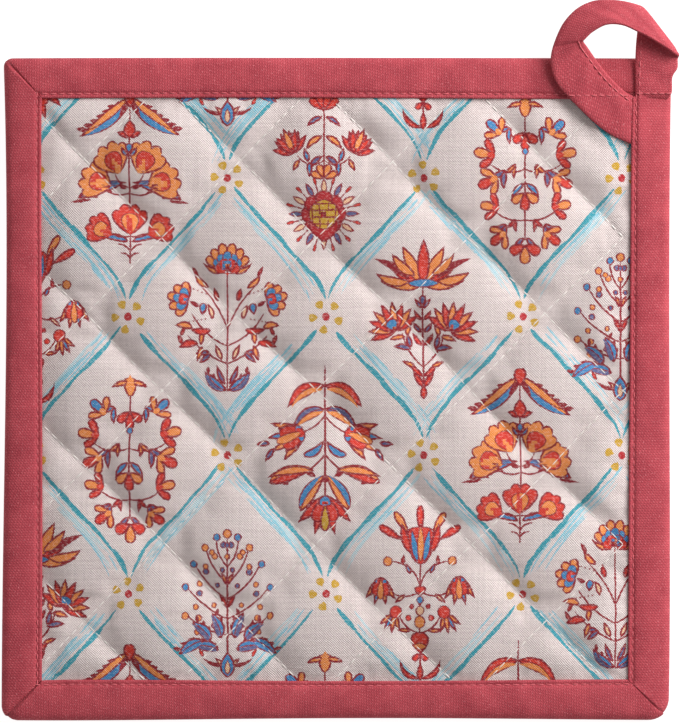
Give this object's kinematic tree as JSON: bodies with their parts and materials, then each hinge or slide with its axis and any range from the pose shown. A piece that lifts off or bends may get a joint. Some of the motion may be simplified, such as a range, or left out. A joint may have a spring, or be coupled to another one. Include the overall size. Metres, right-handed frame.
{
  "type": "pot holder",
  "caption": "Square quilted cotton pot holder with a printed face, a folded tape binding and a hanging loop at its upper right corner.",
  "frame": {"origin": "under the middle of the whole object's box, on the surface that the pot holder lies on", "axes": "+X to the right across the printed face, +Y up across it towards the loop, +Z out of the face, so that the pot holder lies on its back"},
  "size_m": [0.2062, 0.2192, 0.0136],
  "materials": {
    "pad_cloth": "matt cotton canvas, printed with flower sprigs in red, orange and blue on a pale ground",
    "tape_cloth": "matt rose-red cotton tape with fine ribs"
  },
  "bodies": {
    "root": {"quilted_pad": "pad_cloth", "edge_binding": "tape_cloth", "hanging_loop": "tape_cloth"}
  },
  "joints": []
}
